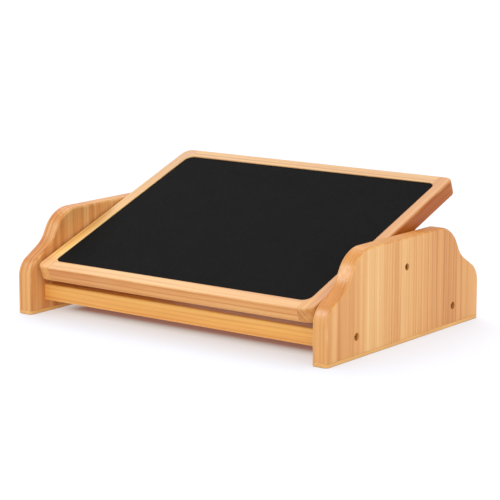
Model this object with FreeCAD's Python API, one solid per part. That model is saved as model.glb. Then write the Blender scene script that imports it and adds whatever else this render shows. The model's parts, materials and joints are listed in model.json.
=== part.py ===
import FreeCAD, Part
import math
import os

# Tilting under-desk footrest. Millimetres, +Z up, +X to the right, front at -Y.
# The origin is on the floor under the middle of the footprint.

V = FreeCAD.Vector
ORIGIN = V(0, 0, 0)
X_AXIS = V(1, 0, 0)
Y_AXIS = V(0, 1, 0)

# Overall size, between the outer faces and edges of the side panels
WIDTH = 450.0
DEPTH = 310.0
PANEL_THICK = 20.0
PANEL_TOP = 119.5
PANEL_EDGE_R = 3.0

# Bell outline of a side panel: its corners before rounding, as distance from the middle and height
SHOULDER = (DEPTH / 2, 59.0)
WAIST = (116.0, 82.5)
CROWN = (95.0, PANEL_TOP)
SHOULDER_R = 23.5
WAIST_R = 31.0
CROWN_R = 39.0

# Strip under each side panel
STRIP_HEIGHT = 4.5
STRIP_PROUD = 0.6
STRIP_CORNER_R = 5.0
STRIP_EDGE_R = 0.8

# Flat slats that join the side panels
RAIL_DEPTH = 62.0
RAIL_THICK = 20.0
RAIL_BOTTOM = 14.5
RAIL_Y = 99.0
RAIL_EDGE_R = 3.0

# Tray, in its own frame: u across, v from front to rear, w up from the pivot axis
TRAY_TILT = 20.6
TRAY_WIDTH = 402.0
TRAY_DEPTH = 307.0
TRAY_THICK = 18.0
TRAY_V = 3.5
TRAY_CORNER_R = 12.0
TRAY_EDGE_R = 2.0
RIM_BAR = 20.0
RIM_SIDE = 16.0
RIM_END = 17.0
POCKET_DEEP = 3.0
POCKET_R = 10.0
POCKET_EDGE_R = 0.8
TONGUE_LONG = 5.0
TONGUE_THICK = 6.0

# Grip mat in the tray's pocket
MAT_THICK = 2.4
MAT_GAP = 0.3

# Tilt bar across the tray's underside
PIVOT_Z = 86.0
BAR_DEPTH = 62.0
BAR_THICK = 20.0
BAR_EDGE_R = 3.0
BAR_SCREWS = 5
BAR_SCREW_STEP = 80.0
BAR_SCREW_V = 16.0

# Pivot bolt, the bush that it turns in, the insert that it screws into and the spacer between them
BOLT_D = 5.0
BOLT_LONG = 40.0
BOLT_HEAD_D = 7.2
BOLT_SOCKET = 3.0
HEAD_GAP = 0.4
BUSH_D = 8.0
BUSH_LONG = 13.5
PIVOT_CLEARANCE = 0.05
INSERT_D = 8.0
INSERT_LONG = 15.0
INSERT_RUN_OUT = 6.0
SPACER_D = 16.0
SPACER_THICK = 3.8
SPACER_HOLE_D = 5.4

# Countersunk wood screws
SCREW_D = 4.2
SCREW_HEAD_D = 8.4
SCREW_HOLE_D = 8.8
SCREW_TIP_LONG = 5.0
SCREW_TIP_D = 0.6
RAIL_SCREW_LONG = 50.0
BAR_SCREW_LONG = 28.0
CROSS_WIDE = 4.4
CROSS_SLOT = 1.0

# All screw and bolt heads: the band round the cone, the recess in the top and the depth below the face
HEAD_BAND = 0.4
RECESS_DEEP = 1.6
SUNK = 2.5

# Glued dowels
DOWEL_D = 8.0
DOWEL_LONG = 30.0
DOWEL_IN_PANEL = 12.0
DOWEL_OFFSET = 18.0
RIM_DOWEL_D = 6.0
RIM_DOWEL_LONG = 30.0
RIM_DOWEL_IN_SIDE = 12.0

# How far a drill or cutter runs on past the face that it cuts
PAST = 1.0

# Worked out from the sizes above
OUTER_X = WIDTH / 2
INNER_X = OUTER_X - PANEL_THICK
RAIL_Z = RAIL_BOTTOM + RAIL_THICK / 2
TRAY_X = TRAY_WIDTH / 2
JOINT_X = TRAY_X - RIM_BAR
TRAY_FRONT = TRAY_V - TRAY_DEPTH / 2
TRAY_REAR = TRAY_V + TRAY_DEPTH / 2
TRAY_UNDER = BAR_THICK / 2
TRAY_TOP = TRAY_UNDER + TRAY_THICK
POCKET_FLOOR = TRAY_TOP - POCKET_DEEP
SIDES = (("left", -1), ("right", 1))
ENDS = (("front", -1), ("rear", 1))


def box(x0, x1, y0, y1, z0, z1):
    return Part.makeBox(x1 - x0, y1 - y0, z1 - z0, V(x0, y0, z0))


def rod(diameter, x0, x1, y=0.0, z=0.0):
    """A round bar along X."""
    return Part.makeCylinder(diameter / 2, x1 - x0, V(x0, y, z), X_AXIS)


def cone(wide_d, narrow_d, x):
    """A 90 degree cone that narrows along -X from its wide end at x."""
    deep = (wide_d - narrow_d) / 2
    return Part.makeCone(wide_d / 2, narrow_d / 2, deep, V(x, 0, 0), -X_AXIS)


def mirrored(shape, side):
    """A shape drawn for the right side, or its mirror image for the left."""
    if side > 0:
        return shape
    return shape.mirror(ORIGIN, X_AXIS)


def union(shapes):
    whole = shapes[0]
    for shape in shapes[1:]:
        whole = whole.fuse(shape)
    return whole.removeSplitter()


def cut_all(shape, tools):
    for tool in tools:
        shape = shape.cut(tool)
    return shape


def edges_of_length(shape, length):
    return [edge for edge in shape.Edges if abs(edge.Length - length) < 0.01]


def rounded_plate(x, y0, y1, z0, z1, radius):
    """A plate from -x to x with the corners of its plan rounded."""
    plate = box(-x, x, y0, y1, z0, z1)
    return plate.makeFillet(radius, edges_of_length(plate, z1 - z0))


def rounded_path(corners, radii):
    """Straight edges through the corners, with each corner between the two ends rounded."""
    edges = []
    start = corners[0]
    for before, corner, after, radius in zip(corners, corners[1:], corners[2:], radii):
        back = (before - corner).normalize()
        onward = (after - corner).normalize()
        half_angle = back.getAngle(onward) / 2
        into = corner + back * (radius / math.tan(half_angle))
        out = corner + onward * (radius / math.tan(half_angle))
        inward = (back + onward).normalize()
        middle = corner + inward * (radius / math.sin(half_angle) - radius)
        edges.append(Part.LineSegment(start, into).toShape())
        edges.append(Part.Arc(into, middle, out).toShape())
        start = out
    edges.append(Part.LineSegment(start, corners[-1]).toShape())
    return edges


def panel_board():
    """The bell-shaped board of the right side, with its arrises rounded except along the foot strip."""
    rear = [V(0, SHOULDER[0], STRIP_HEIGHT)] + [V(0, y, z) for y, z in (SHOULDER, WAIST, CROWN)]
    front = [V(0, -corner.y, corner.z) for corner in reversed(rear)]
    radii = (SHOULDER_R, WAIST_R, CROWN_R)
    edges = rounded_path(rear + front, radii + radii[::-1])
    edges.append(Part.LineSegment(front[-1], rear[0]).toShape())
    board = Part.Face(Part.Wire(edges)).extrude(V(PANEL_THICK, 0, 0))
    board.translate(V(INNER_X, 0, 0))
    arrises = []
    for edge in board.Edges:
        in_one_face = edge.BoundBox.XLength < PANEL_THICK / 2
        at_strip = edge.BoundBox.ZMax < STRIP_HEIGHT + PAST
        if in_one_face and not at_strip:
            arrises.append(edge)
    return board.makeFillet(PANEL_EDGE_R, arrises)


def rail_screw_hole():
    """Wood that a rail screw takes out of a panel whose outer face is at X = 0."""
    band = -SUNK - HEAD_BAND
    opening = rod(SCREW_HOLE_D, band, PAST)
    shank = rod(SCREW_D, -PANEL_THICK - PAST, band)
    return union([opening, cone(SCREW_HEAD_D, SCREW_D, band), shank])


def pivot_hole():
    """Wood that a pivot bolt and its bush take out of a panel whose outer face is at X = 0."""
    band = -SUNK - HEAD_BAND
    head_d = BOLT_HEAD_D + 2 * HEAD_GAP
    neck_d = BOLT_D + 2 * HEAD_GAP
    opening = rod(head_d, band, PAST)
    neck = rod(neck_d, -PANEL_THICK, band)
    bush_bore = rod(BUSH_D, -PANEL_THICK - PAST, -PANEL_THICK + BUSH_LONG)
    return union([opening, cone(head_d, neck_d, band), neck, bush_bore])


def placed(shape, x, y, z):
    shape = shape.copy()
    shape.translate(V(x, y, z))
    return shape


def panel_dowel(y):
    """A dowel of the right side, part in the panel and part in a rail's end."""
    start = INNER_X + DOWEL_IN_PANEL - DOWEL_LONG
    return rod(DOWEL_D, start, start + DOWEL_LONG, y, RAIL_Z)


def rail_dowel_places(end):
    return [end * RAIL_Y - DOWEL_OFFSET, end * RAIL_Y + DOWEL_OFFSET]


def side_panel(side):
    holes = [placed(pivot_hole(), OUTER_X, 0, PIVOT_Z)]
    for _, end in ENDS:
        holes.append(placed(rail_screw_hole(), OUTER_X, end * RAIL_Y, RAIL_Z))
        holes += [panel_dowel(y) for y in rail_dowel_places(end)]
    return mirrored(cut_all(panel_board(), holes), side)


def foot_strip(side):
    """The strip under a panel, its corners rounded so that they don't stand out past the panel's own."""
    reach = DEPTH / 2 + STRIP_PROUD
    strip = box(INNER_X - STRIP_PROUD, OUTER_X + STRIP_PROUD, -reach, reach, 0, STRIP_HEIGHT)
    strip = strip.makeFillet(STRIP_CORNER_R, edges_of_length(strip, STRIP_HEIGHT))
    level = [edge for edge in strip.Edges if edge.BoundBox.ZLength < STRIP_HEIGHT / 2]
    return mirrored(strip.makeFillet(STRIP_EDGE_R, level), side)


def screw_blank(length):
    """A countersunk screw along -X with the top of its head at X = 0 and no recess in it."""
    tip_x = SCREW_TIP_LONG - length
    head = rod(SCREW_HEAD_D, -HEAD_BAND, 0)
    shank = rod(SCREW_D, tip_x, -HEAD_BAND)
    tip = Part.makeCone(SCREW_D / 2, SCREW_TIP_D / 2, SCREW_TIP_LONG, V(tip_x, 0, 0), -X_AXIS)
    return union([head, cone(SCREW_HEAD_D, SCREW_D, -HEAD_BAND), shank, tip])


def wood_screw(length):
    screw = screw_blank(length)
    for wide, tall in ((CROSS_WIDE, CROSS_SLOT), (CROSS_SLOT, CROSS_WIDE)):
        screw = screw.cut(box(-RECESS_DEEP, PAST, -wide / 2, wide / 2, -tall / 2, tall / 2))
    return screw


def rail_screw(side, end):
    return mirrored(placed(wood_screw(RAIL_SCREW_LONG), OUTER_X - SUNK, end * RAIL_Y, RAIL_Z), side)


def rail(end):
    """A flat slat between the side panels, drilled in both ends for its dowels and screws."""
    y = end * RAIL_Y
    reach = RAIL_DEPTH / 2
    slat = box(-INNER_X, INNER_X, y - reach, y + reach, RAIL_BOTTOM, RAIL_BOTTOM + RAIL_THICK)
    slat = slat.makeFillet(RAIL_EDGE_R, edges_of_length(slat, 2 * INNER_X))
    pilot = rod(SCREW_D, OUTER_X - SUNK - RAIL_SCREW_LONG, INNER_X + PAST, y, RAIL_Z)
    holes = [pilot] + [panel_dowel(dowel_y) for dowel_y in rail_dowel_places(end)]
    for _, side in SIDES:
        slat = cut_all(slat, [mirrored(hole, side) for hole in holes])
    return slat


def rail_dowels(end):
    dowels = [mirrored(panel_dowel(y), side) for _, side in SIDES for y in rail_dowel_places(end)]
    return Part.makeCompound(dowels)


def pivot_bush(side):
    bore = rod(BOLT_D + 2 * PIVOT_CLEARANCE, INNER_X - PAST, OUTER_X, 0, PIVOT_Z)
    sleeve = rod(BUSH_D, INNER_X, INNER_X + BUSH_LONG, 0, PIVOT_Z)
    return mirrored(sleeve.cut(bore), side)


def mat_pocket(gap, top):
    """The space of the tray's pocket up to a height, drawn in by a gap."""
    y0 = TRAY_FRONT + RIM_END + gap
    y1 = TRAY_REAR - RIM_END - gap
    return rounded_plate(TRAY_X - RIM_SIDE - gap, y0, y1, POCKET_FLOOR, top, POCKET_R - gap)


def tongue_plate():
    """The plate whose border is the base panel's tongue, which the bars are grooved for."""
    inset = RIM_BAR - TONGUE_LONG
    middle = (TRAY_UNDER + POCKET_FLOOR) / 2
    low = middle - TONGUE_THICK / 2
    x = TRAY_X - inset
    return box(-x, x, TRAY_FRONT + inset, TRAY_REAR - inset, low, low + TONGUE_THICK)


def on_pocket_lip(edge):
    """True for the edges at the top of the pocket's wall, inside the outer rounding."""
    bounds = edge.BoundBox
    level = bounds.ZMin > TRAY_TOP - 0.01
    middle = edge.valueAt((edge.FirstParameter + edge.LastParameter) / 2)
    inside_x = abs(middle.x) < TRAY_X - TRAY_CORNER_R
    inside_y = TRAY_FRONT + TRAY_CORNER_R < middle.y < TRAY_REAR - TRAY_CORNER_R
    return level and inside_x and inside_y


def tray_rim():
    """The tray's rim in one piece: rounded outside, with the mat's pocket and the groove inside."""
    slab = rounded_plate(TRAY_X, TRAY_FRONT, TRAY_REAR, TRAY_UNDER, TRAY_TOP, TRAY_CORNER_R)
    level = [edge for edge in slab.Edges if edge.BoundBox.ZLength < TRAY_THICK / 2]
    slab = slab.makeFillet(TRAY_EDGE_R, level)
    slab = slab.cut(mat_pocket(0, TRAY_TOP + PAST))
    slab = slab.makeFillet(POCKET_EDGE_R, [edge for edge in slab.Edges if on_pocket_lip(edge)])
    opening = box(-JOINT_X, JOINT_X, TRAY_FRONT + RIM_BAR, TRAY_REAR - RIM_BAR, 0, TRAY_TOP)
    return cut_all(slab, [opening, tongue_plate()])


def rim_dowels():
    """A dowel in each corner of the rim, through the butt joint of a side bar and an end bar."""
    start = JOINT_X + RIM_DOWEL_IN_SIDE - RIM_DOWEL_LONG
    z = (TRAY_UNDER + TRAY_TOP) / 2
    dowels = []
    for y in (TRAY_FRONT + RIM_BAR / 2, TRAY_REAR - RIM_BAR / 2):
        dowel = rod(RIM_DOWEL_D, start, start + RIM_DOWEL_LONG, y, z)
        dowels += [mirrored(dowel, side) for _, side in SIDES]
    return Part.makeCompound(dowels)


def rim_bars():
    """The rim's four bars: the side bars run the whole depth and the end bars stand between them."""
    rim = tray_rim().cut(rim_dowels())
    y0 = TRAY_FRONT - PAST
    y1 = TRAY_REAR + PAST
    right = box(JOINT_X, TRAY_X + PAST, y0, y1, 0, TRAY_TOP + PAST)
    return {
        "tray_rim_left": rim.common(mirrored(right, -1)),
        "tray_rim_right": rim.common(right),
        "tray_rim_front": rim.common(box(-JOINT_X, JOINT_X, y0, TRAY_V, 0, TRAY_TOP + PAST)),
        "tray_rim_rear": rim.common(box(-JOINT_X, JOINT_X, TRAY_V, y1, 0, TRAY_TOP + PAST)),
    }


def bar_screws(screw):
    """Copies of a screw, upright and head down in the tilt bar, in a zigzag along it."""
    upright = screw.copy()
    upright.rotate(ORIGIN, Y_AXIS, 90)
    screws = []
    for i in range(BAR_SCREWS):
        x = (i - (BAR_SCREWS - 1) / 2) * BAR_SCREW_STEP
        y = BAR_SCREW_V if i % 2 else -BAR_SCREW_V
        screws.append(placed(upright, x, y, HEAD_BAND - BAR_THICK / 2))
    return Part.makeCompound(screws)


def bar_screw_holes():
    screw = screw_blank(BAR_SCREW_LONG)
    mouth = rod(SCREW_HEAD_D, -HEAD_BAND, PAST)
    return bar_screws(screw.fuse(mouth))


def tray_panel():
    """The board under the mat, tongued into the bars and drilled for the tilt bar's screws."""
    board = box(-JOINT_X, JOINT_X, TRAY_FRONT + RIM_BAR, TRAY_REAR - RIM_BAR, TRAY_UNDER, POCKET_FLOOR)
    return union([board, tongue_plate()]).cut(bar_screw_holes())


def grip_mat():
    return mat_pocket(MAT_GAP, POCKET_FLOOR + MAT_THICK)


def tilt_bar():
    """The slat across the tray's underside, bored in its ends for the threaded inserts."""
    bar = box(-TRAY_X, TRAY_X, -BAR_DEPTH / 2, BAR_DEPTH / 2, -BAR_THICK / 2, BAR_THICK / 2)
    lower = [edge for edge in edges_of_length(bar, TRAY_WIDTH) if edge.BoundBox.ZMax < 0]
    bar = bar.makeFillet(BAR_EDGE_R, lower).cut(bar_screw_holes())
    bore = rod(INSERT_D, TRAY_X - INSERT_LONG, TRAY_X + PAST)
    run_out = rod(BOLT_D + 2 * PIVOT_CLEARANCE, TRAY_X - INSERT_LONG - INSERT_RUN_OUT, TRAY_X)
    for _, side in SIDES:
        bar = bar.cut(mirrored(union([bore, run_out]), side))
    return bar


def threaded_insert(side):
    sleeve = rod(INSERT_D, TRAY_X - INSERT_LONG, TRAY_X)
    return mirrored(sleeve.cut(rod(BOLT_D, 0, OUTER_X)), side)


def pivot_spacer(side):
    ring = rod(SPACER_D, TRAY_X, TRAY_X + SPACER_THICK)
    return mirrored(ring.cut(rod(SPACER_HOLE_D, 0, OUTER_X)), side)


def hexagon(across_flats, x0, x1):
    corner_r = across_flats / 2 / math.cos(math.pi / 6)
    turns = [math.pi / 3 * i for i in range(7)]
    ring = Part.makePolygon([V(x0, corner_r * math.cos(turn), corner_r * math.sin(turn)) for turn in turns])
    return Part.Face(ring).extrude(V(x1 - x0, 0, 0))


def pivot_bolt(side):
    """A countersunk bolt with its head sunk in the side panel and its end in the tilt bar."""
    top = OUTER_X - SUNK
    head = rod(BOLT_HEAD_D, top - HEAD_BAND, top)
    shank = rod(BOLT_D, top - BOLT_LONG, top - HEAD_BAND)
    bolt = union([head, cone(BOLT_HEAD_D, BOLT_D, top - HEAD_BAND), shank])
    return mirrored(bolt.cut(hexagon(BOLT_SOCKET, top - RECESS_DEEP, top + PAST)), side)


def base_parts():
    parts = {}
    for side_name, side in SIDES:
        parts[side_name + "_side_panel"] = side_panel(side)
        parts[side_name + "_foot_strip"] = foot_strip(side)
        parts[side_name + "_pivot_bush"] = pivot_bush(side)
        for end_name, end in ENDS:
            parts[end_name + "_rail_screw_" + side_name] = rail_screw(side, end)
    for end_name, end in ENDS:
        parts[end_name + "_rail"] = rail(end)
        parts[end_name + "_rail_dowels"] = rail_dowels(end)
    return parts


def tray_parts():
    """The pieces that tilt, in the tray's own frame."""
    parts = rim_bars()
    parts["tray_rim_dowels"] = rim_dowels()
    parts["tray_panel"] = tray_panel()
    parts["grip_mat"] = grip_mat()
    parts["tilt_bar"] = tilt_bar()
    parts["tilt_bar_screws"] = bar_screws(wood_screw(BAR_SCREW_LONG))
    for side_name, side in SIDES:
        parts[side_name + "_threaded_insert"] = threaded_insert(side)
        parts[side_name + "_pivot_spacer"] = pivot_spacer(side)
        parts[side_name + "_pivot_bolt"] = pivot_bolt(side)
    return parts


def at_rest(shape):
    """Turns a tray piece to the tilt that the tray rests at and lifts it to the pivots."""
    shape = shape.copy()
    shape.rotate(ORIGIN, X_AXIS, TRAY_TILT)
    return placed(shape, 0, 0, PIVOT_Z)


os.makedirs("parts", exist_ok=True)
all_parts = base_parts()
for name, shape in tray_parts().items():
    all_parts[name] = at_rest(shape)
for name, shape in all_parts.items():
    shape.exportStep("parts/" + name + ".step")
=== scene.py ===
import json
import math

import bmesh
import bpy
from mathutils import Matrix, Vector


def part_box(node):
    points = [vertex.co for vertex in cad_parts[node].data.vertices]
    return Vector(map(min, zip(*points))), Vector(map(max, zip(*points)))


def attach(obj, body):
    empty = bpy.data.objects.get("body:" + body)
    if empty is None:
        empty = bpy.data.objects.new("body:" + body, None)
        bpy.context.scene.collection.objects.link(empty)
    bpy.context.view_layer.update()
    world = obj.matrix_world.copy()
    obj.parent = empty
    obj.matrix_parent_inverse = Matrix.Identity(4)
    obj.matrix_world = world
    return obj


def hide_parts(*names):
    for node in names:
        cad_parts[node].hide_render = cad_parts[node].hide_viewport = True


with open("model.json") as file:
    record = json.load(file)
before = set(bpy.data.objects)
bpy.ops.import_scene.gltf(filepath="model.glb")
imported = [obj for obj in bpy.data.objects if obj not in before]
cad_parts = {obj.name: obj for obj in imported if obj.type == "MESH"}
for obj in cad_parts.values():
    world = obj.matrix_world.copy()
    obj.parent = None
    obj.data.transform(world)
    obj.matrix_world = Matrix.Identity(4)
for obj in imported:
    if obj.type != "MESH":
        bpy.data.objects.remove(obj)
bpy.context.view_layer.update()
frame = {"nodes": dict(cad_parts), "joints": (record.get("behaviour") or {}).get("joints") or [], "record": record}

MM = 0.001

# How close places are that count as one: in choosing parts, in choosing them loosely, in merging points
NEAR = 0.01 * MM
ABOUT = 0.1 * MM
MERGED = 0.001 * MM

# How much of an edge's length has to lie along an axis for it to count as parallel
PARALLEL = 0.999

# Read from the frame: the right panel's box, the front rail's box and its middle, which the rear rail
# mirrors, the pivot and the tray's tilt at rest
PANEL_LOW, PANEL_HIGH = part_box("right_side_panel")
RAIL_LOW, RAIL_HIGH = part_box("front_rail")
RAIL_Y = (RAIL_LOW.y + RAIL_HIGH.y) / 2
RAIL_Z = (RAIL_LOW.z + RAIL_HIGH.z) / 2
PIVOT = Vector(frame["joints"][0]["pos_m"])
MAT_UP = next(m["axis"] for m in frame["record"]["mounts"] if m["name"] == "mat_face")
TILT = math.atan2(-MAT_UP[1], MAT_UP[2])
TO_REST = Matrix.Translation(PIVOT) @ Matrix.Rotation(TILT, 4, "X")

# Bell outline of a side panel: corners as distance from the middle and height, with their radii
SHOULDER = (PANEL_HIGH.y, 59 * MM)
WAIST = (116 * MM, 82.5 * MM)
CROWN = (95 * MM, PANEL_HIGH.z)
SHOULDER_R = 23.5 * MM
WAIST_R = 31 * MM
CROWN_R = 39 * MM
PANEL_EDGE_R = 3 * MM

# Slats: the rails and the tilt bar
RAIL_TOP_R = 2.2 * MM
RAIL_UNDER_R = 1.5 * MM
BAR_EDGE_R = 3 * MM
BAR_DEPTH = 62 * MM
BAR_THICK = 20 * MM

# Tray, in its own frame with the pivot at the origin
TRAY_X = 201 * MM
TRAY_FRONT = -150 * MM
TRAY_REAR = 157 * MM
TRAY_UNDER = 10 * MM
TRAY_TOP = 28 * MM
TRAY_CORNER_R = 12 * MM
TRAY_EDGE_R = 2 * MM
RIM_BAR = 20 * MM
RIM_SIDE = 16 * MM
RIM_END = 17 * MM
POCKET_FLOOR = 25 * MM
POCKET_R = 10 * MM
POCKET_EDGE_R = 0.8 * MM
SEAM_EDGE_R = 0.15 * MM
SEAM_ANGLE = math.radians(60)

# Grip mat, with small pyramids in slanting rows
MAT_GAP = 0.3 * MM
MAT_THICK = 2.4 * MM
PYRAMID = 1.9 * MM
PYRAMID_HIGH = 0.5 * MM
ROW_ANGLE = math.radians(45)

# Holes in the side panels
SUNK = 2.5 * MM
HEAD_BAND = 0.4 * MM
SCREW_HOLE_R = 4.4 * MM
SCREW_R = 2.1 * MM
BOLT_HOLE_R = 4 * MM
BOLT_NECK_R = 2.9 * MM
BUSH_R = 4 * MM
BUSH_LONG = 13.5 * MM

# How far a cutter stands out of what it cuts
PAST = 1 * MM

# Segments of each kind of rounding, and how faces are shaded across them
BELL_STEPS = 12
EDGE_STEPS = 5
CORNER_STEPS = 10
TRAY_EDGE_STEPS = 4
LIP_STEPS = 3
SEAM_STEPS = 1
HOLE_STEPS = 48
SMOOTH_ANGLE = math.radians(35)
FACE_WEIGHT = 80

# Camera, as fitted to the photo's edges
CAMERA_SENSOR = 36
CAMERA_LENS = 144.7
CAMERA_REACH = 100
CAMERA_AZIMUTH = math.radians(37.20)
CAMERA_ELEVATION = math.radians(10.88)
CAMERA_TARGET = Vector((4.78 * MM, 0, 79.56 * MM))
CAMERA_DISTANCE = 2374.65 * MM


# Modelling helpers


def begin(name, primitive, **placing):
    """Adds a primitive with nothing else selected, names it and opens it for editing."""
    bpy.ops.object.select_all(action="DESELECT")
    primitive(**placing)
    piece = bpy.context.object
    piece.name = name
    piece.data.name = name
    bpy.ops.object.transform_apply(location=True, rotation=True, scale=True)
    bpy.ops.object.mode_set(mode="EDIT")
    return piece


def block(name, low, high):
    """A box from one corner to the opposite one, open for editing."""
    low = Vector(low)
    high = Vector(high)
    return begin(name, bpy.ops.mesh.primitive_cube_add, size=1, location=(low + high) / 2, scale=high - low)


def choose(piece, kind, wanted):
    """In edit mode, selects only the verts, edges or faces that wanted says yes to."""
    bpy.ops.mesh.select_mode(type={"verts": "VERT", "edges": "EDGE", "faces": "FACE"}[kind])
    bpy.ops.mesh.select_all(action="DESELECT")
    mesh = bmesh.from_edit_mesh(piece.data)
    for part in getattr(mesh, kind):
        if wanted(part):
            part.select_set(True)
    bmesh.update_edit_mesh(piece.data)


def along(edge, axis):
    """True for an edge that runs along X, Y or Z, which are 0, 1 and 2."""
    direction = edge.verts[1].co - edge.verts[0].co
    return abs(direction[axis]) > PARALLEL * direction.length


def level_at(edge, axis, value):
    """True for an edge that lies in the plane at that place on the axis."""
    return all(abs(vert.co[axis] - value) < NEAR for vert in edge.verts)


def round_off(radius, segments):
    bpy.ops.mesh.bevel(offset=radius, segments=segments, profile=0.5, affect="EDGES")


def sides_outward():
    bpy.ops.mesh.select_all(action="SELECT")
    bpy.ops.mesh.remove_doubles(threshold=MERGED)
    bpy.ops.mesh.normals_make_consistent(inside=False)


def close_up(piece):
    """Leaves edit mode with all faces outwards."""
    sides_outward()
    bpy.ops.object.mode_set(mode="OBJECT")
    return piece


def pick(piece):
    """Makes the piece the only one selected."""
    bpy.ops.object.select_all(action="DESELECT")
    piece.select_set(True)
    bpy.context.view_layer.objects.active = piece


def finish_with(piece, kind, **settings):
    """Adds a modifier and applies it."""
    pick(piece)
    modifier = piece.modifiers.new(kind.title(), kind)
    for key, value in settings.items():
        setattr(modifier, key, value)
    bpy.ops.object.modifier_apply(modifier=modifier.name)


def cut(piece, cutter, operation="DIFFERENCE"):
    finish_with(piece, "BOOLEAN", object=cutter, operation=operation, solver="EXACT")
    bpy.data.objects.remove(cutter)


def smooth(piece):
    pick(piece)
    bpy.ops.object.shade_smooth_by_angle(angle=SMOOTH_ANGLE)
    finish_with(piece, "WEIGHTED_NORMAL", keep_sharp=True, weight=FACE_WEIGHT)
    return piece


def into_place(piece):
    """Turns a tray piece from the tray's own frame to where it rests."""
    pick(piece)
    piece.matrix_world = TO_REST
    bpy.ops.object.transform_apply(location=True, rotation=True, scale=True)
    return piece


def turned_cutter(name, y, z, steps):
    """A round cutter along X, from steps of where it is and how wide: (x, radius)."""
    x, radius = steps[0]
    cutter = begin(name, bpy.ops.mesh.primitive_circle_add, vertices=HOLE_STEPS, radius=radius,
                   fill_type="NGON", location=(x, y, z), rotation=(0, math.pi / 2, 0))
    for next_x, next_radius in steps[1:]:
        bpy.ops.mesh.extrude_region_move(TRANSFORM_OT_translate={"value": (next_x - x, 0, 0)})
        ratio = next_radius / radius
        bpy.ops.transform.resize(value=(1, ratio, ratio), center_override=(next_x, y, z))
        x, radius = next_x, next_radius
    return close_up(cutter)


def deliver(piece, body, node):
    """Hands a finished piece to the body that it moves with, in place of its CAD node."""
    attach(piece, body)
    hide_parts(node)
    return piece


# Side panels


def outline_points(piece, y_now, y_new, z_new):
    """Moves the pair of top points at y_now to their corner of the bell."""
    choose(piece, "verts", lambda v: abs(abs(v.co.y) - y_now) < ABOUT and v.co.z > PANEL_HIGH.z - ABOUT)
    bpy.ops.transform.resize(value=(1, y_new / y_now, 1), center_override=(0, 0, PANEL_HIGH.z))
    bpy.ops.transform.translate(value=(0, 0, z_new - PANEL_HIGH.z))


def corner_offset(before, corner, after, radius):
    """How far from a corner its rounding starts."""
    half_angle = (Vector(before) - Vector(corner)).angle(Vector(after) - Vector(corner)) / 2
    return radius / math.tan(half_angle)


def at_corner(edge, corner):
    """True for the panel's edges through its thickness at a corner of the bell, on either side."""
    place = edge.verts[0].co
    return along(edge, 0) and abs(place.z - corner[1]) < NEAR and abs(abs(place.y) - corner[0]) < NEAR


def bell_outline(name):
    """The bell as a flat face: a plane whose top edge is cut in five, at 0.1, 0.3 and 0.5 of its depth."""
    depth = PANEL_HIGH.y - PANEL_LOW.y
    height = PANEL_HIGH.z - PANEL_LOW.z
    piece = begin(name, bpy.ops.mesh.primitive_plane_add, size=1, rotation=(0, math.pi / 2, 0))
    bpy.ops.transform.resize(value=(1, depth, height), center_override=(0, 0, 0))
    bpy.ops.transform.translate(value=(PANEL_LOW.x, 0, PANEL_LOW.z + height / 2))
    choose(piece, "edges", lambda e: level_at(e, 2, PANEL_HIGH.z))
    bpy.ops.mesh.subdivide(number_cuts=4, ngon=True)
    outline_points(piece, depth * 0.1, *CROWN)
    outline_points(piece, depth * 0.3, *WAIST)
    outline_points(piece, depth * 0.5, *SHOULDER)
    return piece


def bell_board(name):
    """The right panel's board: the bell outline given its thickness and rounded."""
    piece = bell_outline(name)
    bpy.ops.mesh.select_all(action="SELECT")
    bpy.ops.mesh.extrude_region_move(TRANSFORM_OT_translate={"value": (PANEL_HIGH.x - PANEL_LOW.x, 0, 0)})
    foot = (PANEL_HIGH.y, PANEL_LOW.z)
    corners = ((foot, SHOULDER, WAIST, SHOULDER_R), (SHOULDER, WAIST, CROWN, WAIST_R),
               (WAIST, CROWN, (0, CROWN[1]), CROWN_R))
    for before, corner, after, radius in corners:
        choose(piece, "edges", lambda e: at_corner(e, corner))
        round_off(corner_offset(before, corner, after, radius), BELL_STEPS)
    faces_x = (PANEL_LOW.x, PANEL_HIGH.x)
    choose(piece, "edges", lambda e: any(level_at(e, 0, x) for x in faces_x)
           and not level_at(e, 2, PANEL_LOW.z))
    round_off(PANEL_EDGE_R, EDGE_STEPS)
    return close_up(piece)


def panel_holes():
    """Cutters for the right panel: the sunk holes of the rail screws and the pivot's stepped bore."""
    outer = PANEL_HIGH.x + PAST
    inner = PANEL_LOW.x - PAST
    band = PANEL_HIGH.x - SUNK - HEAD_BAND
    screw_steps = ((outer, SCREW_HOLE_R), (band, SCREW_HOLE_R), (band - SCREW_HOLE_R + SCREW_R, SCREW_R),
                   (inner, SCREW_R))
    neck_start = band - BOLT_HOLE_R + BOLT_NECK_R
    bush_end = PANEL_LOW.x + BUSH_LONG
    bolt_steps = ((outer, BOLT_HOLE_R), (band, BOLT_HOLE_R), (neck_start, BOLT_NECK_R),
                  (bush_end, BOLT_NECK_R), (bush_end, BUSH_R), (inner, BUSH_R))
    return (turned_cutter("front_hole", RAIL_Y, RAIL_Z, screw_steps),
            turned_cutter("rear_hole", -RAIL_Y, RAIL_Z, screw_steps),
            turned_cutter("pivot_hole", PIVOT.y, PIVOT.z, bolt_steps))


def side_panel(side_name):
    """A side panel with its holes; the left one is the right one mirrored."""
    piece = bell_board(side_name + "_panel_board")
    for cutter in panel_holes():
        cut(piece, cutter)
    if side_name == "left":
        pick(piece)
        piece.scale = (-1, 1, 1)
        bpy.ops.object.transform_apply(location=True, rotation=True, scale=True)
        bpy.ops.object.mode_set(mode="EDIT")
        close_up(piece)
    smooth(piece)
    return deliver(piece, "base", side_name + "_side_panel")


# Slats


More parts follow.
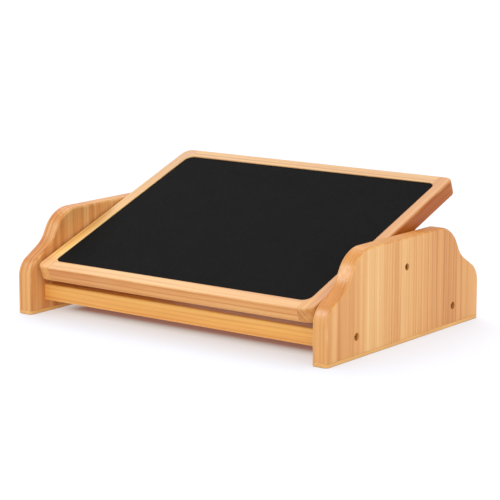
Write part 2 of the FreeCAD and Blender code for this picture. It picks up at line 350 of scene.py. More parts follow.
def slat(name, low, high, *roundings):
    """A board along X with its long edges rounded: each rounding is the edges' height and a radius."""
    piece = block(name, low, high)
    for height, radius in roundings:
        choose(piece, "edges", lambda e: along(e, 0) and level_at(e, 2, height))
        round_off(radius, EDGE_STEPS)
    close_up(piece)
    return smooth(piece)


def rail(end_name):
    low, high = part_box(end_name + "_rail")
    piece = slat(end_name + "_rail_slat", low, high, (high.z, RAIL_TOP_R), (low.z, RAIL_UNDER_R))
    return deliver(piece, "base", end_name + "_rail")


def tilt_bar():
    """The bar under the tray that carries the pivots, rounded below."""
    low = (-TRAY_X, -BAR_DEPTH / 2, -BAR_THICK / 2)
    high = (TRAY_X, BAR_DEPTH / 2, BAR_THICK / 2)
    piece = slat("tilt_bar_slat", low, high, (low[2], BAR_EDGE_R))
    into_place(piece)
    return deliver(piece, "tray", "tilt_bar")


# Tray


def rounded_plate(name, x, y0, y1, z0, z1, radius):
    """A plate from -x to x with rounded corners, open for editing."""
    piece = block(name, (-x, y0, z0), (x, y1, z1))
    choose(piece, "edges", lambda e: along(e, 2))
    round_off(radius, CORNER_STEPS)
    return piece


def on_lip(edge):
    """True for the edges round the top of the mat's pocket."""
    middle = (edge.verts[0].co + edge.verts[1].co) / 2
    inside_x = abs(middle.x) < TRAY_X - TRAY_CORNER_R
    inside_y = TRAY_FRONT + TRAY_CORNER_R < middle.y < TRAY_REAR - TRAY_CORNER_R
    return level_at(edge, 2, TRAY_TOP) and inside_x and inside_y


def tray_slab():
    """The whole tray without its mat, before it is parted: rounded outside, with the pocket in its top."""
    piece = rounded_plate("tray_slab", TRAY_X, TRAY_FRONT, TRAY_REAR, TRAY_UNDER, TRAY_TOP, TRAY_CORNER_R)
    choose(piece, "edges", lambda e: level_at(e, 2, TRAY_TOP) or level_at(e, 2, TRAY_UNDER))
    round_off(TRAY_EDGE_R, TRAY_EDGE_STEPS)
    close_up(piece)
    pocket = rounded_plate("pocket", TRAY_X - RIM_SIDE, TRAY_FRONT + RIM_END, TRAY_REAR - RIM_END,
                           POCKET_FLOOR, TRAY_TOP + PAST, POCKET_R)
    close_up(pocket)
    cut(piece, pocket)
    pick(piece)
    bpy.ops.object.mode_set(mode="EDIT")
    choose(piece, "edges", on_lip)
    round_off(POCKET_EDGE_R, LIP_STEPS)
    return close_up(piece)


def sawn(slab, name, cuts):
    """A copy of the slab, sawn at each plane of cuts: (axis, place, side that is kept)."""
    piece = slab.copy()
    piece.data = slab.data.copy()
    piece.name = name
    piece.data.name = name
    bpy.context.collection.objects.link(piece)
    pick(piece)
    bpy.ops.object.mode_set(mode="EDIT")
    for axis, place, keep in cuts:
        point = Vector((0, 0, 0))
        normal = Vector((0, 0, 0))
        point[axis] = place
        normal[axis] = keep
        bpy.ops.mesh.select_all(action="SELECT")
        bpy.ops.mesh.bisect(plane_co=point, plane_no=normal, use_fill=True, clear_inner=True)
    for axis, place, _ in cuts:
        choose(piece, "edges", lambda e: level_at(e, axis, place) and e.calc_face_angle(0) > SEAM_ANGLE)
        round_off(SEAM_EDGE_R, SEAM_STEPS)
    return close_up(piece)


def tray_boards():
    """The slab parted into its rim bars and base board: side bars full depth, end bars between them."""
    slab = tray_slab()
    joint_x = TRAY_X - RIM_BAR
    front_y = TRAY_FRONT + RIM_BAR
    rear_y = TRAY_REAR - RIM_BAR
    between = ((0, -joint_x, 1), (0, joint_x, -1))
    boards = {
        "left": sawn(slab, "left_rim_bar", ((0, -joint_x, -1),)),
        "right": sawn(slab, "right_rim_bar", ((0, joint_x, 1),)),
        "front": sawn(slab, "front_rim_bar", between + ((1, front_y, -1),)),
        "rear": sawn(slab, "rear_rim_bar", between + ((1, rear_y, 1),)),
        "base": sawn(slab, "tray_base_board", between + ((1, front_y, 1), (1, rear_y, -1))),
    }
    bpy.data.objects.remove(slab)
    for name, piece in boards.items():
        smooth(piece)
        into_place(piece)
        if name == "base":
            deliver(piece, "tray", "tray_panel")
        else:
            deliver(piece, "tray", "tray_rim_" + name)
    return boards


# Grip mat


def knurled_sheet():
    """A sheet wider than the mat, its top pressed into rows of small pyramids."""
    valley = POCKET_FLOOR + MAT_THICK - PYRAMID_HIGH
    middle = (0, (TRAY_FRONT + TRAY_REAR) / 2, valley)
    rows = math.ceil((TRAY_X - TRAY_FRONT) * math.sqrt(2) / PYRAMID)
    piece = begin("knurled_sheet", bpy.ops.mesh.primitive_grid_add, size=rows * PYRAMID,
                  x_subdivisions=rows, y_subdivisions=rows, location=middle, rotation=(0, 0, ROW_ANGLE))
    for axis, half in ((0, TRAY_X), (1, TRAY_REAR - middle[1])):
        choose(piece, "faces", lambda f: abs(f.calc_center_median()[axis] - middle[axis]) > half)
        bpy.ops.mesh.delete(type="FACE")
    bpy.ops.mesh.select_all(action="SELECT")
    bpy.ops.mesh.extrude_region_move(TRANSFORM_OT_translate={"value": (0, 0, -MAT_THICK * 3)})
    bpy.ops.mesh.dissolve_faces()
    sides_outward()
    choose(piece, "faces", lambda f: f.calc_center_median().z > valley - ABOUT)
    bpy.ops.mesh.poke(offset=PYRAMID_HIGH)
    return close_up(piece)


def grip_mat():
    """The mat, cut to its outline out of the knurled sheet."""
    piece = rounded_plate("knurled_grip_mat", TRAY_X - RIM_SIDE - MAT_GAP, TRAY_FRONT + RIM_END + MAT_GAP,
                          TRAY_REAR - RIM_END - MAT_GAP, POCKET_FLOOR, POCKET_FLOOR + MAT_THICK + PAST,
                          POCKET_R - MAT_GAP)
    close_up(piece)
    cut(piece, knurled_sheet(), "INTERSECT")
    into_place(piece)
    return deliver(piece, "tray", "grip_mat")


# Material helpers

CLEAN = (1.0, 1.0, 1.0, 1)

# Most of a noise lies between these
NOISE_LOW = 0.3
NOISE_HIGH = 0.7


def add(tree, kind, inputs=None, **settings):
    """Adds a shader node, with sockets linked and other input values set."""
    node = tree.nodes.new("ShaderNode" + kind)
    for key, value in settings.items():
        setattr(node, key, value)
    for key, value in (inputs or {}).items():
        if isinstance(value, bpy.types.NodeSocket):
            tree.links.new(value, node.inputs[key])
        else:
            node.inputs[key].default_value = value
    return node


def begin_material(name):
    """A new material with one shader: its node tree and that shader."""
    material = bpy.data.materials.new(name)
    material.use_nodes = True
    tree = material.node_tree
    shader = tree.nodes["Principled BSDF"]
    return material, tree, shader


def paint(piece, material):
    piece.data.materials.clear()
    piece.data.materials.append(material)


def opaque(colour):
    return colour + (1,)


def own_place(tree):
    return add(tree, "TexCoord").outputs["Object"]


def tray_place(tree):
    """Coordinates in the tray's own frame, before it is tilted."""
    back = TO_REST.inverted()
    return add(tree, "Mapping", {"Vector": own_place(tree), "Rotation": back.to_euler(),
                                 "Location": back.to_translation()}).outputs["Vector"]


def facing(tree, place):
    """Which way the surface faces, in the same frame as place."""
    normal = add(tree, "TexCoord").outputs["Normal"]
    if place is tray_place:
        turn = {"Vector": normal, "Rotation": TO_REST.inverted().to_euler()}
        normal = add(tree, "Mapping", turn, vector_type="VECTOR").outputs["Vector"]
    return normal


def maths(tree, operation, first, second=0.0, third=0.0):
    return add(tree, "Math", {0: first, 1: second, 2: third}, operation=operation).outputs[0]


def vector_maths(tree, operation, first, second):
    """A sum or product of vectors, or the number that a dot product gives."""
    node = add(tree, "VectorMath", {0: first, 1: second}, operation=operation)
    return node.outputs["Value" if operation == "DOT_PRODUCT" else "Vector"]


def on_axis(tree, vector, axis):
    return add(tree, "SeparateXYZ", {0: vector}).outputs[axis]


def as_vector(tree, parts):
    """A vector from numbers by axis; an axis that isn't named is 0."""
    return add(tree, "CombineXYZ", parts).outputs[0]


def remap(tree, value, low, high, new_low=0.0, new_high=1.0):
    """Turns low to high into new_low to new_high, and stays within them."""
    return add(tree, "MapRange", {0: value, 1: low, 2: high, 3: new_low, 4: new_high}).outputs[0]


def ramp(tree, value, stops, interpolation="LINEAR"):
    """A colour ramp over stops of place and brightness, or place and colour."""
    node = add(tree, "ValToRGB", {"Fac": value})
    node.color_ramp.interpolation = interpolation
    elements = node.color_ramp.elements
    for _ in stops[2:]:
        elements.new(0.5)
    for element, (place, colour) in zip(elements, stops):
        element.position = place
        element.color = colour if isinstance(colour, tuple) else (colour, colour, colour, 1)
    return node.outputs["Color"]


def mix(tree, factor, first, second, blend="MIX"):
    node = add(tree, "Mix", {0: factor, 6: first, 7: second}, data_type="RGBA", blend_type=blend)
    return node.outputs[2]


def noise(tree, place, scale, detail=2.0, roughness=0.5, distortion=0.0):
    return add(tree, "TexNoise", {"Vector": place, "Scale": scale, "Detail": detail, "Roughness": roughness,
                                  "Distortion": distortion}).outputs["Fac"]


def stretched(tree, place, grain, ratio, shift):
    """Coordinates drawn out along the grain, which is axis 0, 1 or 2, and shifted by a vector or socket."""
    scale = [1.0, 1.0, 1.0]
    scale[grain] = ratio
    moved = vector_maths(tree, "ADD", place, shift)
    return add(tree, "Mapping", {"Vector": moved, "Scale": scale}).outputs["Vector"]


def by_place(tree, place, axis, stops, interpolation="LINEAR"):
    """Looks up stops of (place on the axis, brightness or colour)."""
    low = stops[0][0]
    high = stops[-1][0]
    share = remap(tree, on_axis(tree, place, axis), low, high)
    return ramp(tree, share, [((at - low) / (high - low), value) for at, value in stops], interpolation)


def mottled(tree, cloud, dark, light):
    """A colour that follows a noise."""
    return ramp(tree, cloud, ((NOISE_LOW, dark), (NOISE_HIGH, light)))


def uneven_gloss(tree, shader, marks, smoothest, roughest):
    """Roughness that follows a noise."""
    rough = remap(tree, marks, NOISE_LOW, NOISE_HIGH, smoothest, roughest)
    tree.links.new(rough, shader.inputs["Roughness"])


def relief(tree, shader, height, strength, deepest):
    """Fine relief that only bends the light."""
    bump = add(tree, "Bump", {"Strength": strength, "Distance": deepest, "Height": height})
    tree.links.new(bump.outputs[0], shader.inputs["Normal"])


# Wood

# A board's own part of every pattern: its seed times these
SEED_SHIFT = (0.37, 0.53, 0.71)

# Growth rings: how far apart they are, how far and how slowly they wander, and how dark each gets across
RING_PITCH = 5 * MM
RING_WANDER = 10 * MM
RING_WANDER_SCALE = 22.0
RING_STRETCH = 0.1
RING_SHADE = ((0.0, 0.25), (0.1, 0.0), (0.55, 0.12), (0.88, 1.0), (1.0, 0.25))

# How much one ring differs from the next: a noise of the ring's number, times and plus these
RING_NUMBER_SCALE = 0.77
RING_CONTRAST = 2.4
RING_OFFSET = -0.55

# Patterns along the grain, from wide to fine: how far each is drawn out, and the settings of its noise
PATTERNS = {
    "bands": (0.02, {"scale": 90.0, "detail": 1.5, "distortion": 0.2}),
    "streaks": (0.025, {"scale": 420.0, "roughness": 0.55}),
    "fibres": (0.03, {"scale": 1500.0, "roughness": 0.6}),
    "pores": (0.07, {"scale": 1700.0, "detail": 1.0}),
}

# How much the tone changes with each pattern and with the late wood, and where the three tones lie
PATTERN_AMOUNTS = (("bands", 0.7), ("streaks", 0.28), ("fibres", 0.08))
LATE_WOOD_AMOUNT = 0.22
TONE_PLACES = (0.1, 0.5, 0.9)

# Pores: where in their noise they start and are full, how much they show and how dark they are
PORE_STOPS = ((0.62, 0.0), (0.74, 1.0))
PORE_SHARE = 0.14
PORE_SHADE = 0.7

# Side panels: how far apart in the pattern two staves are for a tone that differs by 1, how much of the
# figure is left on the edges, and how far a surface faces sideways where it is an edge and where a face
STAVE_JUMP = 7.3
EDGE_FIGURE = 0.25
SIDEWAYS_EDGE = 0.4
SIDEWAYS_FACE = 0.95

# End grain: its colour as the lacquer sinks into it, how much of it the tray's sealed bars show, and how
# far across the grain a surface is cut where it starts and is full
END_GRAIN = (0.82, 0.62, 0.25, 1)
SEALED_END_GRAIN = 0.15
END_GRAIN_STARTS = 0.3
END_GRAIN_FULL = 0.85

# How far the edge of a tint by place wanders, and how slowly
TINT_DRIFT = 3 * MM
TINT_DRIFT_SCALE = 30.0
TINT_STRETCH = 0.5

# The lacquer's gloss and relief
LACQUER_SMOOTHEST = 0.34
LACQUER_ROUGHEST = 0.48
LACQUER_LEVEL = 0.3
LACQUER_RELIEF = 0.05

# Where the lacquer is rubbed: how much paler and duller the wood is, how far its patches are drawn out along
# the grain, and where in their noise they start and are full
RUBBED_PALER = 0.4
RUBBED_DULLER = 0.15
RUBBED_STRETCH = 0.35
RUBBED_STARTS = 0.46
RUBBED_FULL = 0.66


def late_wood(tree, place, grain, across, seed):
    """Dark late wood at the end of each growth ring, 0 to 1; the rings follow each other along across."""
    drawn_out = stretched(tree, place, grain, RING_STRETCH, (seed, seed, seed))
    wander = noise(tree, drawn_out, RING_WANDER_SCALE)
    depth = vector_maths(tree, "DOT_PRODUCT", place, across)
    depth = maths(tree, "MULTIPLY_ADD", wander, RING_WANDER, depth)
    ring = maths(tree, "MULTIPLY_ADD", depth, 1 / RING_PITCH, seed)
    which = as_vector(tree, {0: maths(tree, "FLOOR", ring), 1: seed})
    strength = noise(tree, which, RING_NUMBER_SCALE, detail=0.0)
    strength = maths(tree, "MULTIPLY_ADD", strength, RING_CONTRAST, RING_OFFSET)
    return maths(tree, "MULTIPLY", ramp(tree, maths(tree, "FRACT", ring), RING_SHADE), strength)


def wood_patterns(tree, where, grain, shift):
    patterns = {}
    for name, (ratio, settings) in PATTERNS.items():
        patterns[name] = noise(tree, stretched(tree, where, grain, ratio, shift), **settings)
    return patterns


def own_staves(tree, where, grain, staves):
    """Each stave's tone and ring direction, and coordinates that jump from one stave to the next."""
    axis, stops = staves
    stave = add(tree, "SeparateXYZ", {0: by_place(tree, where, axis, stops, "CONSTANT")})
    tone, ring_x, ring_y = stave.outputs
    across = as_vector(tree, {0: ring_x, 1: ring_y})
    jump = as_vector(tree, {grain: maths(tree, "MULTIPLY", tone, STAVE_JUMP)})
    return tone, across, vector_maths(tree, "ADD", where, jump)


def figure_strength(tree, place):
    """How much of the figure a side panel shows: all of it on its faces, less on its edges."""
    sideways = maths(tree, "ABSOLUTE", on_axis(tree, facing(tree, place), 0))
    return remap(tree, sideways, SIDEWAYS_EDGE, SIDEWAYS_FACE, EDGE_FIGURE, 1.0)


def figured(tree, tone, patterns, late, strength, contrast):
    """The tone with the patterns and the late wood in it."""
    for name, amount in PATTERN_AMOUNTS:
        full = amount * contrast
        change = maths(tree, "MULTIPLY_ADD", patterns[name], full, -0.5 * full)
        tone = maths(tree, "MULTIPLY_ADD", change, strength, tone)
    return maths(tree, "MULTIPLY_ADD", late, -LATE_WOOD_AMOUNT * contrast, tone)


def end_grain(tree, place, grain):
    """How far a face cuts across the grain, 0 to 1, and less on the tray's bars."""
    cut_across = maths(tree, "ABSOLUTE", on_axis(tree, facing(tree, place), grain))
    most = SEALED_END_GRAIN if place is tray_place else 1.0
    return remap(tree, cut_across, END_GRAIN_STARTS, END_GRAIN_FULL, 0.0, most)


def tinted(tree, colour, place, where, grain, shift, tints):
    """The colour with its tints by place in it, each with an edge that wanders along the grain:
    lines and darker or yellower parts of the wood, and painted light and shade.
    """
    for axis, stops in tints:
        drawn_out = stretched(tree, where, grain, TINT_STRETCH, shift)
        drift = noise(tree, drawn_out, TINT_DRIFT_SCALE, detail=1.0)
        drift = maths(tree, "MULTIPLY_ADD", drift, TINT_DRIFT, -TINT_DRIFT / 2)
        drifted = vector_maths(tree, "ADD", place(tree), as_vector(tree, {axis: drift}))
        colour = mix(tree, 1.0, colour, by_place(tree, drifted, axis, stops), "MULTIPLY")
    return colour


def rubbed_edges(tree, place, grain, is_panel):
    """Where the lacquer is rubbed thin, 0 to 1, in patches along the rounded edges.

    The edges are found from the squares of the normal's parts: halfway round an edge of a panel its x part is
    a half, and halfway round any other edge two parts are.
    """
    normal = facing(tree, place)
    squares = vector_maths(tree, "MULTIPLY", normal, normal)
    if is_panel:
        share = on_axis(tree, squares, 0)
        edge = maths(tree, "MULTIPLY", maths(tree, "MULTIPLY_ADD", share, -4.0, 4.0), share)
    else:
        edge = maths(tree, "MULTIPLY_ADD", vector_maths(tree, "DOT_PRODUCT", squares, squares), -2.0, 2.0)
    drawn_out = stretched(tree, place(tree), grain, RUBBED_STRETCH, (0, 0, 0))
    patches = noise(tree, drawn_out, scale=90.0, detail=3.0, roughness=0.6)
    return maths(tree, "MULTIPLY", edge, remap(tree, patches, RUBBED_STARTS, RUBBED_FULL))


def lacquer(tree, shader, patterns, pores, rubbed):
    """Clear lacquer, duller where it is rubbed, with raised fibres and sunk pores under it."""
    rough = remap(tree, patterns["streaks"], NOISE_LOW, NOISE_HIGH, LACQUER_SMOOTHEST, LACQUER_ROUGHEST)
    tree.links.new(maths(tree, "MULTIPLY_ADD", rubbed, RUBBED_DULLER, rough), shader.inputs["Roughness"])
    height = maths(tree, "SUBTRACT", maths(tree, "MULTIPLY", patterns["fibres"], 0.5), pores)
    relief(tree, shader, height, LACQUER_RELIEF, 0.1 * MM)
    shader.inputs["Specular IOR Level"].default_value = LACQUER_LEVEL


def wood(name, tones, grain, across, seed, place=own_place, staves=None, tints=(), contrast=1.0):
    """Clear-lacquered pine: growth rings, streaks and fibres along the grain, in a deep to pale range."""
    material, tree, shader = begin_material(name)
    deep = tones[0]
    pale = opaque(tones[-1])
    where = place(tree)
    shift = tuple(seed * part for part in SEED_SHIFT)
    tone = 0.5
    strength = 1.0
    if staves:
        tone, across, where = own_staves(tree, where, grain, staves)
        strength = figure_strength(tree, place)
    patterns = wood_patterns(tree, where, grain, shift)
    tone = figured(tree, tone, patterns, late_wood(tree, where, grain, across, seed), strength, contrast)
    colour = ramp(tree, tone, [(at, opaque(shade)) for at, shade in zip(TONE_PLACES, tones)])
    pores = ramp(tree, patterns["pores"], PORE_STOPS)
    pore_share = maths(tree, "MULTIPLY", maths(tree, "MULTIPLY", pores, PORE_SHARE), strength)
    colour = mix(tree, pore_share, colour, opaque(tuple(part * PORE_SHADE for part in deep)))
    soaked = mix(tree, 1.0, colour, END_GRAIN, "MULTIPLY")
    colour = mix(tree, end_grain(tree, place, grain), colour, soaked)
    colour = tinted(tree, colour, place, where, grain, shift, tints)
    rubbed = rubbed_edges(tree, place, grain, bool(staves))
    colour = mix(tree, maths(tree, "MULTIPLY", rubbed, RUBBED_PALER), colour, pale)
    tree.links.new(colour, shader.inputs["Base Color"])
    lacquer(tree, shader, patterns, pores, rubbed)
    return material


# Rubber, metal and nylon


def rubber_mat():
    """Black rubber with a fine dull skin, with painted shade that is darkest down in the valleys between its
    pyramids and lightest at their tips.
    """
    material, tree, shader = begin_material("black_rubber")
    where = own_place(tree)
    cloud = noise(tree, where, scale=30.0, detail=3.0)
    grain = noise(tree, where, scale=2500.0)
    tip = POCKET_FLOOR + MAT_THICK
    # Painted shade: the rubber darkens from the pyramids' tips down into the valleys between them
    painted_valley_shade = by_place(tree, tray_place(tree), 2, ((tip - PYRAMID_HIGH, 0.0022), (tip, 0.0125)))
    colour = mix(tree, 1.0, mottled(tree, cloud, 0.80, 1.0), painted_valley_shade, "MULTIPLY")
    tree.links.new(colour, shader.inputs["Base Color"])
    uneven_gloss(tree, shader, grain, 0.6, 0.8)
    relief(tree, shader, grain, 0.15, 0.05 * MM)
    shader.inputs["Specular IOR Level"].default_value = 0.055
    return material


def rubber_strip():
    """Tan rubber under the side panels, mottled and a little shiny, with painted shade along its bottom where it
    meets the floor and along its top edge against the panel.
    """
    material, tree, shader = begin_material("tan_rubber")
    where = own_place(tree)
    cloud = noise(tree, stretched(tree, where, 1, 0.1, (0, 0, 0)), scale=200.0, detail=4.0)
    grain = noise(tree, where, scale=1200.0)
    colour = mottled(tree, cloud, (0.68, 0.34, 0.09, 1), (0.78, 0.43, 0.125, 1))
    # Painted shade: darker along the bottom against the floor, and a little darker along the top edge against the
    # panel
    painted_edge_shade = by_place(tree, where, 2, ((0.2 * MM, (0.45, 0.38, 0.32, 1)), (0.9 * MM, CLEAN),
                                     (4.0 * MM, CLEAN), (4.5 * MM, (0.8, 0.74, 0.7, 1))))
    tree.links.new(mix(tree, 1.0, colour, painted_edge_shade, "MULTIPLY"), shader.inputs["Base Color"])
    uneven_gloss(tree, shader, grain, 0.35, 0.5)
    relief(tree, shader, grain, 0.1, 0.05 * MM)
    return material


def metal(name, dull, bright, smoothest):
    """Machined or coated metal, with fine marks and uneven wear."""
    material, tree, shader = begin_material(name)
    where = own_place(tree)
    wear = noise(tree, where, scale=900.0, detail=4.0, roughness=0.6)
    marks = noise(tree, where, scale=5000.0)
    colour = ramp(tree, wear, ((0.35, opaque(dull)), (0.65, opaque(bright))))
    tree.links.new(colour, shader.inputs["Base Color"])
    uneven_gloss(tree, shader, marks, smoothest, smoothest + 0.15)
    relief(tree, shader, marks, 0.1, 0.02 * MM)
    shader.inputs["Metallic"].default_value = 1.0
    return material


def nylon():
    """Natural moulded nylon."""
    material, tree, shader = begin_material("natural_nylon")
    where = own_place(tree)
    cloud = noise(tree, where, scale=300.0, detail=3.0)
    grain = noise(tree, where, scale=4000.0)
    colour = mottled(tree, cloud, (0.74, 0.72, 0.64, 1), (0.80, 0.78, 0.71, 1))
    tree.links.new(colour, shader.inputs["Base Color"])
    relief(tree, shader, grain, 0.1, 0.02 * MM)
    shader.inputs["Roughness"].default_value = 0.45
    return material


# The footrest


def in_mm(*stops):
    """Stops whose places are written in millimetres."""
    return tuple((place * MM, value) for place, value in stops)


# Deep, middle and pale tone of each kind of board
PANEL_TONES = ((0.54, 0.20, 0.05), (0.745, 0.37, 0.122), (0.88, 0.60, 0.27))
RAIL_TONES = ((0.72, 0.285, 0.06), (0.88, 0.455, 0.108), (0.92, 0.60, 0.19))
RIM_TONES = ((0.56, 0.225, 0.07), (0.72, 0.40, 0.155), (0.83, 0.58, 0.27))
# The left rim bar's tones are brighter and yellower than the other bars': painted light, taken down by its stops
# at the front end and towards the rear
LEFT_RIM_LIT_TONES = ((0.82, 0.41, 0.09), (0.95, 0.62, 0.225), (0.98, 0.77, 0.39))
RIGHT_RIM_TONES = ((0.50, 0.175, 0.045), (0.625, 0.295, 0.086), (0.75, 0.44, 0.145))
REAR_RIM_TONES = ((0.49, 0.20, 0.06), (0.64, 0.365, 0.14), (0.77, 0.54, 0.235))
BEECH_TONES = ((0.42, 0.20, 0.07), (0.62, 0.40, 0.21), (0.78, 0.56, 0.35))

# Glued staves of the side panels: where each starts from front to rear, and its tone and ring direction
RIGHT_STAVES = (1, in_mm(
    (-160, (0.46, 0.98, 0.17, 1)), (-112, (0.54, 0.60, 0.80, 1)), (-84, (0.66, 0.25, 0.97, 1)),
    (-28, (0.57, 0.40, 0.92, 1)), (34, (0.42, 0.30, 0.95, 1)), (108, (0.47, 0.90, 0.44, 1)),
    (160, (0.47, 0.90, 0.44, 1))))
LEFT_STAVES = (1, in_mm(
    (-160, (0.53, 1.0, 0.03, 1)), (-96, (0.62, 0.50, 0.87, 1)), (-40, (0.78, 0.30, 0.95, 1)),
    (21, (0.66, 0.60, 0.80, 1)), (88, (0.56, 0.95, 0.31, 1)), (160, (0.56, 0.95, 0.31, 1))))

# What is tinted by place: (axis, stops of where and by what colour it is multiplied). The rim
# bars have darker and yellower parts, with painted light on the left bar, and the panels' edges have dark lines
# along them, with painted shade on the left panel's inner face
RIM_OUTSIDE = (0, in_mm((199, CLEAN), (201, (0.70, 0.39, 0.0, 1))))
RIM_FRONT = (1, in_mm((-150, (1.0, 0.86, 0.69, 1)), (-148.5, CLEAN)))
RIM_RIGHT = (1, in_mm(
    (-150, CLEAN), (-134, CLEAN), (-122, (0.92, 0.86, 0.91, 1)), (150, (0.92, 0.86, 0.91, 1))))
# Painted light on the left rim bar: lightest just behind its front end, darker at the front end and towards the
# rear
RIM_LEFT_PAINTED_LIGHT = (1, in_mm(
    (-150, (0.76, 0.57, 0.46, 1)), (-148.5, (0.80, 0.66, 0.64, 1)), (-132, (0.80, 0.66, 0.64, 1)),
    (-115, CLEAN), (-75, (0.95, 0.92, 0.9, 1)), (-45, (0.79, 0.79, 0.80, 1)),
    (150, (0.64, 0.60, 0.82, 1))))
# The left panel: dark lines along its edges, a slightly darker outer face, and painted shade from the tray on its
# inner face and inner arris
LEFT_EDGE_LINES_AND_SHADE = (0, in_mm(
    (-225, (0.97, 0.95, 0.92, 1)), (-221.8, CLEAN), (-220.0, (0.84, 0.72, 0.57, 1)),
    (-218.8, (0.84, 0.72, 0.57, 1)), (-217, CLEAN), (-214.8, CLEAN), (-213.6, (0.82, 0.70, 0.54, 1)),
    (-212.6, (0.82, 0.70, 0.54, 1)), (-211.2, CLEAN), (-208, CLEAN), (-206.6, (0.94, 0.88, 0.80, 1)),
    (-205, (0.94, 0.82, 0.74, 1))))
RIGHT_EDGES = (0, in_mm(
    (205, CLEAN), (206.8, CLEAN), (207.8, (0.84, 0.80, 0.80, 1)), (209, CLEAN), (215, CLEAN),
    (216.2, (0.88, 0.84, 0.78, 1)), (217.4, CLEAN), (219, (0.98, 0.97, 0.95, 1)),
    (220, (0.86, 0.80, 0.74, 1)), (221.2, CLEAN), (225, CLEAN)))

panel_right = side_panel("right")
panel_left = side_panel("left")
paint(panel_right, wood("right_panel_wood", PANEL_TONES, 2, (0, 0, 0), 3.1, staves=RIGHT_STAVES,
                        tints=(RIGHT_EDGES,)))
paint(panel_left, wood("left_panel_wood", PANEL_TONES, 2, (0, 0, 0), 11.7, staves=LEFT_STAVES,
                       tints=(LEFT_EDGE_LINES_AND_SHADE,), contrast=1.6))
paint(rail("front"), wood("front_rail_wood", RAIL_TONES, 0, (0, 0.3, 0.95), 21.3, contrast=1.2))
paint(rail("rear"), wood("rear_rail_wood", RAIL_TONES, 0, (0, 0.3, 0.95), 27.9, contrast=1.2))
paint(tilt_bar(), wood("tilt_bar_wood", RAIL_TONES, 0, (0, 0.6, 0.8), 33.4, tray_place))
boards = tray_boards()
paint(boards["left"], wood("left_rim_wood", LEFT_RIM_LIT_TONES, 1, (0.9, 0, 0.44), 41.2, tray_place,
                           tints=(RIM_LEFT_PAINTED_LIGHT,), contrast=1.5))
paint(boards["right"], wood("right_rim_wood", RIGHT_RIM_TONES, 1, (0.8, 0, 0.6), 47.8, tray_place,
                            tints=(RIM_OUTSIDE, RIM_RIGHT), contrast=1.5))
paint(boards["front"], wood("front_rim_wood", RIM_TONES, 0, (0, 0.5, 0.87), 53.5, tray_place,
                            tints=(RIM_FRONT,), contrast=1.4))
paint(boards["rear"], wood("rear_rim_wood", REAR_RIM_TONES, 0, (0, 0.9, 0.44), 59.1, tray_place,
                           contrast=1.5))
paint(boards["base"], wood("base_board_wood", RIM_TONES, 0, (0, 0.35, 0.94), 66.6, tray_place))
paint(grip_mat(), rubber_mat())

# The CAD nodes that stay: each gets the material of its slot, and the pivot bolts a darker one
dark_bronze = metal("dark_bronze", (0.18, 0.08, 0.015), (0.34, 0.17, 0.04), 0.4)
FINISHES = {
    "screw_steel": metal("yellow_passivated_steel", (0.34, 0.19, 0.05), (0.52, 0.32, 0.10), 0.4),
    "insert_brass": metal("brass", (0.60, 0.42, 0.15), (0.78, 0.58, 0.24), 0.25),
    "strip_rubber": rubber_strip(),
    "nylon": nylon(),
    "dowel_wood": wood("dowel_wood", BEECH_TONES, 0, (0, 0.8, 0.6), 72.2),
}
for row in frame["record"]["subparts"]:
    if row["material_slot"] in FINISHES:
        node = frame["nodes"][row["node"]]
        paint(node, FINISHES[row["material_slot"]])
for side_name in ("left", "right"):
    paint(frame["nodes"][side_name + "_pivot_bolt"], dark_bronze)


# Stage, light and camera

FLOOR_SIZE = 60
FLOOR_COLOUR = (0.47, 0.49, 0.55, 1)
# The floor's colour deep in the painted shadow: a painted warm bounce from the wood
FLOOR_PAINTED_BOUNCE = (0.66, 0.31, 0.19, 1)

# The floor's own glow, which lightens the floor's shadows, and the painted shadow under the footrest: how much of
# the glow it takes away, from front to rear, most under the rails
FLOOR_GLOW = 0.45
FLOOR_PAINTED_SHADOW = in_mm((-122, 0.0), (-110, 0.15), (-94, 0.85), (-64, 0.95), (-35, 0.4), (0, 0.1), (50, 0.1),
                      (80, 0.9), (120, 0.0))

# From the middle towards either side, where the painted shadow is full and where it is gone again
PAINTED_SHADOW_FULL_TO = 180 * MM
PAINTED_SHADOW_GONE_FROM = 205 * MM

# How deep the painted shadow has to be for the painted warm bounce from the wood to start
PAINTED_BOUNCE_FROM = 0.3


def floor():
    """A plain pale floor that glows evenly, with a painted shadow and a painted warm bounce from the wood under
    the footrest.
    """
    piece = begin("floor", bpy.ops.mesh.primitive_plane_add, size=FLOOR_SIZE)
    bpy.ops.object.mode_set(mode="OBJECT")
    material, tree, shader = begin_material("pale_floor")
    shader.inputs["Roughness"].default_value = 0.9
    shader.inputs["Specular IOR Level"].default_value = 0.0
    shader.inputs["Emission Color"].default_value = CLEAN
    where = own_place(tree)
    away = maths(tree, "ABSOLUTE", on_axis(tree, where, 0))
    between = remap(tree, away, PAINTED_SHADOW_FULL_TO, PAINTED_SHADOW_GONE_FROM, 1.0, 0.0)
    # Painted shadow under the footrest, deepest under the rails
    painted_shadow = maths(tree, "MULTIPLY", between, by_place(tree, where, 1, FLOOR_PAINTED_SHADOW))
    # Painted warm bounce from the wood in the deeper painted shadow
    colour = mix(tree, remap(tree, painted_shadow, PAINTED_BOUNCE_FROM, 1.0), FLOOR_COLOUR, FLOOR_PAINTED_BOUNCE)
    tree.links.new(colour, shader.inputs["Base Color"])
    # The glow is taken down where the painted shadow is
    glow = maths(tree, "MULTIPLY_ADD", painted_shadow, -FLOOR_GLOW, FLOOR_GLOW)
    tree.links.new(glow, shader.inputs["Emission Strength"])
    paint(piece, material)


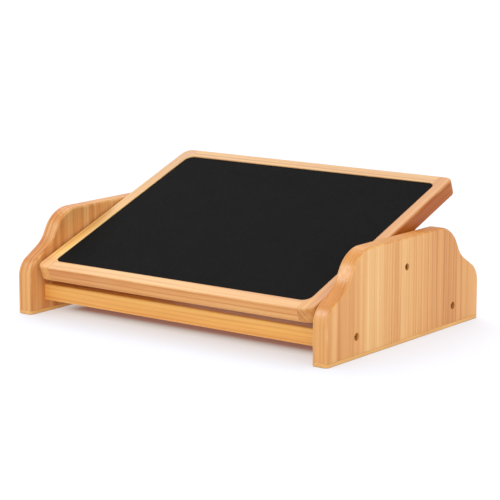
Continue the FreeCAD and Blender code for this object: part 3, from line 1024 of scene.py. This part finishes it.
def lamp(name, kind, power, towards):
    """A light that shines from the side that the vector points to."""
    data = bpy.data.lights.new(name, kind)
    data.energy = power
    light = bpy.data.objects.new(name, data)
    bpy.context.scene.collection.objects.link(light)
    light.rotation_mode = "QUATERNION"
    light.rotation_quaternion = Vector(towards).to_track_quat("Z", "Y")
    return light


def soft_sun(name, towards, width, strength):
    """A wide, soft light far away, width being its size in degrees."""
    light = lamp(name, "SUN", strength, towards)
    light.data.angle = math.radians(width)


def soft_box(name, place, size, power):
    """A square soft light that faces the footrest and only shows in its gloss."""
    light = lamp(name, "AREA", power, place)
    light.location = place
    light.data.shape = "SQUARE"
    light.data.size = size
    light.visible_diffuse = False


def studio():
    """White surroundings and soft light from above, the front and the photo's left."""
    world = bpy.data.worlds.new("studio")
    world.use_nodes = True
    background = world.node_tree.nodes["Background"]
    background.inputs["Color"].default_value = CLEAN
    background.inputs["Strength"].default_value = 1.0
    bpy.context.scene.world = world
    soft_sun("overhead_light", (-0.594, 0.45, 0.66), width=40, strength=0.5)
    soft_sun("overhead_fill", (-0.4, 0.2, 0.9), width=80, strength=0.4)
    soft_sun("front_fill", (0.55, -0.74, 0.38), width=90, strength=0.5)
    soft_box("front_softbox", (-0.66, -0.88, 0.96), size=0.45, power=15)
    bpy.context.scene.view_settings.view_transform = "Standard"


def camera():
    """The photo's camera, turned to its target."""
    data = bpy.data.cameras.new("camera")
    data.sensor_width = CAMERA_SENSOR
    data.lens = CAMERA_LENS
    data.clip_end = CAMERA_REACH
    piece = bpy.data.objects.new("camera", data)
    bpy.context.scene.collection.objects.link(piece)
    level = math.cos(CAMERA_ELEVATION)
    back = Vector((math.sin(CAMERA_AZIMUTH) * level, -math.cos(CAMERA_AZIMUTH) * level,
                   math.sin(CAMERA_ELEVATION)))
    piece.location = CAMERA_TARGET + back * CAMERA_DISTANCE
    piece.rotation_mode = "QUATERNION"
    piece.rotation_quaternion = back.to_track_quat("Z", "Y")
    bpy.context.scene.camera = piece


floor()
studio()
camera()
